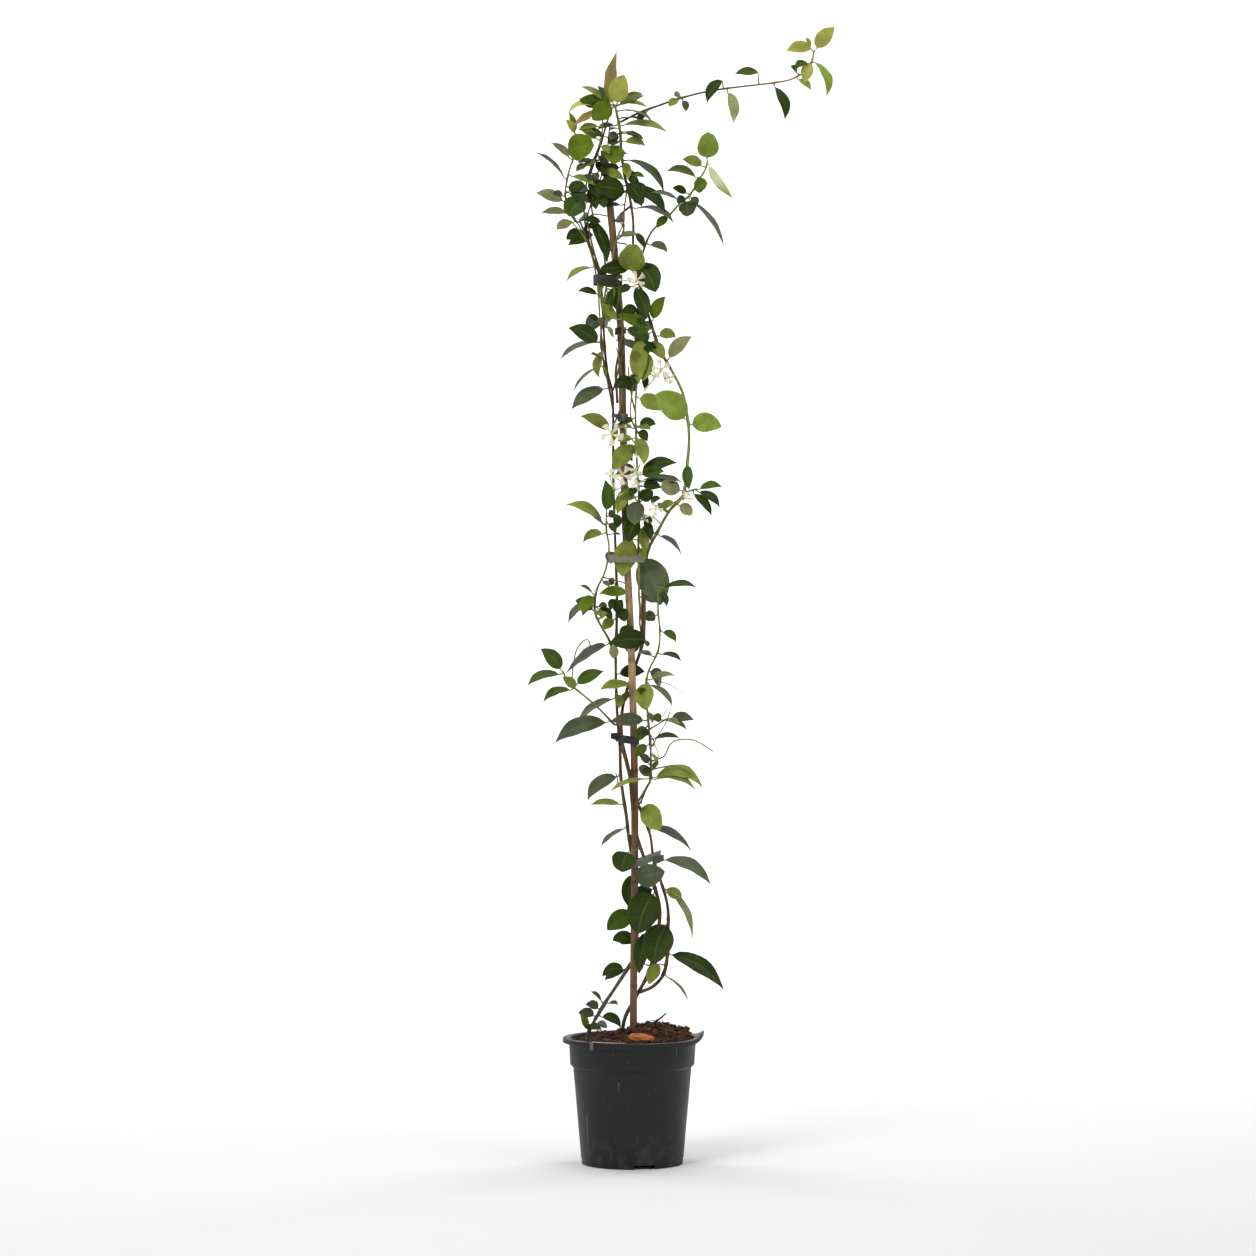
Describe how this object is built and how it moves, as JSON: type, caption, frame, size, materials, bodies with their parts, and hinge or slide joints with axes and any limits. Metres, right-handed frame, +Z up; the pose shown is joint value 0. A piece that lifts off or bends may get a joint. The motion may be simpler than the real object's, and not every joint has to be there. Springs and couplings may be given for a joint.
{
  "type": "potted climbing plant",
  "caption": "Tall twining evergreen climber with white pinwheel flowers, tied to a bamboo cane in a round black nursery pot of peat; stands on its base.",
  "frame": {"origin": "centre of the pot's base on the floor", "axes": "+Z up along the cane, +X to the right seen from the front, -Y to the front"},
  "size_m": [0.3672, 0.167, 1.3602],
  "materials": {
    "pot_plastic": "satin",
    "strip_plastic": "satin",
    "tie_plastic": "satin",
    "peat": "matte",
    "bark": "matte",
    "cane_wood": "satin",
    "leaf": "satin",
    "young_leaf": "satin",
    "petal": "matte"
  },
  "bodies": {
    "root": {"bark_chip": "bark", "cane": "cane_wood", "pot": "pot_plastic", "rim_strip": "strip_plastic", "shoot_centre": "leaf", "shoot_left_high": "leaf", "shoot_left_low": "leaf", "shoot_left_top": "young_leaf", "shoot_long": "young_leaf", "shoot_right": "leaf", "shoot_right_top": "young_leaf", "shoot_top": "leaf", "soil": "peat", "spray_centre": "petal", "spray_high": "petal", "spray_middle": "petal", "spray_right": "petal", "spray_top": "petal", "spray_upper": "petal", "tie_band": "tie_plastic", "tie_clip": "tie_plastic", "tie_low": "tie_plastic", "tie_middle": "tie_plastic", "tie_top": "tie_plastic", "tie_upper": "tie_plastic", "vine_front": "leaf", "vine_left": "leaf", "vine_right": "leaf"}
  },
  "joints": []
}
